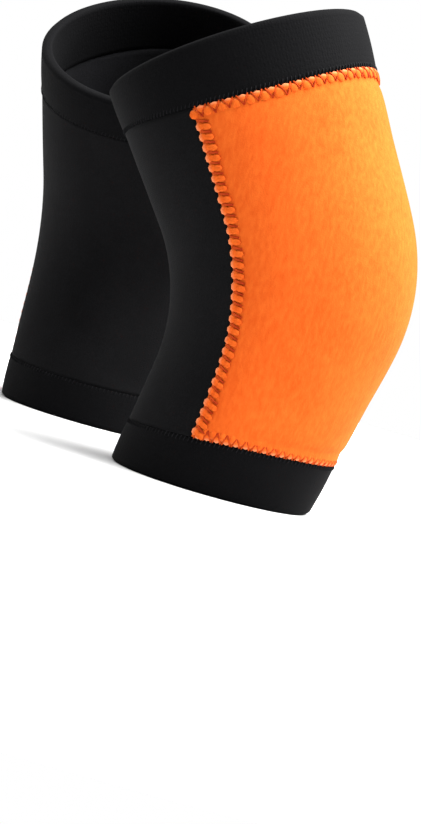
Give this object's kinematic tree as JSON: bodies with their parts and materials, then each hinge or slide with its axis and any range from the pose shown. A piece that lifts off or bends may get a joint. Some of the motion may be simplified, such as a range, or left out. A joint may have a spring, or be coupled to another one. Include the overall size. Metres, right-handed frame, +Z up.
{
  "type": "knee pads",
  "caption": "Pair of padded pull-on knee sleeves: black elastic knit tubes with ribbed cuffs and a padded orange fleece panel over the kneecap, edged with zigzag stitching.",
  "frame": {"origin": "on the floor under the middle of the pair's bounding box", "axes": "+Z up; the right sleeve's kneecap faces -Y and its sides lie along X; the left sleeve's kneecap faces 4 degrees short of +X, towards -Y"},
  "size_m": [0.3396, 0.2787, 0.2649],
  "materials": {
    "black_knit": "matt stretch knit",
    "black_rib_knit": "matt ribbed knit",
    "black_lining": "soft brushed jersey",
    "orange_fleece": "brushed fleece",
    "orange_thread": "soft twisted thread",
    "black_thread": "soft twisted thread",
    "cushion_foam": "open-cell foam",
    "woven_elastic": "woven elastic webbing"
  },
  "bodies": {
    "right_calf": {"right_calf_cuff": "black_rib_knit", "right_calf_elastic": "woven_elastic", "right_calf_cuff_seam": "black_thread", "right_calf_back_fabric": "black_knit", "right_calf_front_panel": "orange_fleece", "right_calf_knee_pad": "cushion_foam", "right_calf_lining": "black_lining", "right_calf_side_stitching": "orange_thread", "right_calf_edge_stitching": "orange_thread"},
    "right_thigh": {"right_thigh_cuff": "black_rib_knit", "right_thigh_elastic": "woven_elastic", "right_thigh_cuff_seam": "black_thread", "right_thigh_back_fabric": "black_knit", "right_thigh_front_panel": "orange_fleece", "right_thigh_knee_pad": "cushion_foam", "right_thigh_lining": "black_lining", "right_thigh_side_stitching": "orange_thread", "right_thigh_edge_stitching": "orange_thread"},
    "left_calf": {"left_calf_cuff": "black_rib_knit", "left_calf_elastic": "woven_elastic", "left_calf_cuff_seam": "black_thread", "left_calf_back_fabric": "black_knit", "left_calf_front_panel": "orange_fleece", "left_calf_knee_pad": "cushion_foam", "left_calf_lining": "black_lining", "left_calf_side_stitching": "orange_thread", "left_calf_edge_stitching": "orange_thread"},
    "left_thigh": {"left_thigh_cuff": "black_rib_knit", "left_thigh_elastic": "woven_elastic", "left_thigh_cuff_seam": "black_thread", "left_thigh_back_fabric": "black_knit", "left_thigh_front_panel": "orange_fleece", "left_thigh_knee_pad": "cushion_foam", "left_thigh_lining": "black_lining", "left_thigh_side_stitching": "orange_thread", "left_thigh_edge_stitching": "orange_thread"}
  },
  "joints": [
    {"name": "right_knee_bend", "type": "hinge", "parent": "right_calf", "child": "right_thigh", "pos_m": [-0.0984, -0.07333, 0.12112], "axis": [-1, 0, 0], "range_deg": [-44, 46], "stiffness_Nm_per_rad": 0.3, "springref_deg": -4.3, "deforming": ["right_calf_back_fabric", "right_calf_front_panel", "right_calf_knee_pad", "right_calf_lining", "right_calf_side_stitching", "right_thigh_back_fabric", "right_thigh_front_panel", "right_thigh_knee_pad", "right_thigh_lining", "right_thigh_side_stitching"]},
    {"name": "left_sleeve_apart", "type": "slide", "parent": "right_calf", "child": "left_calf", "axis": [1, 0, 0], "range_m": [0, 0.15]},
    {"name": "left_knee_bend", "type": "hinge", "parent": "left_calf", "child": "left_thigh", "pos_m": [0.1038, 0.06405, 0.12112], "axis": [-0.0698, -0.9976, 0], "range_deg": [-44, 46], "stiffness_Nm_per_rad": 0.3, "springref_deg": -4.3, "deforming": ["left_calf_back_fabric", "left_calf_front_panel", "left_calf_knee_pad", "left_calf_lining", "left_calf_side_stitching", "left_thigh_back_fabric", "left_thigh_front_panel", "left_thigh_knee_pad", "left_thigh_lining", "left_thigh_side_stitching"]}
  ]
}
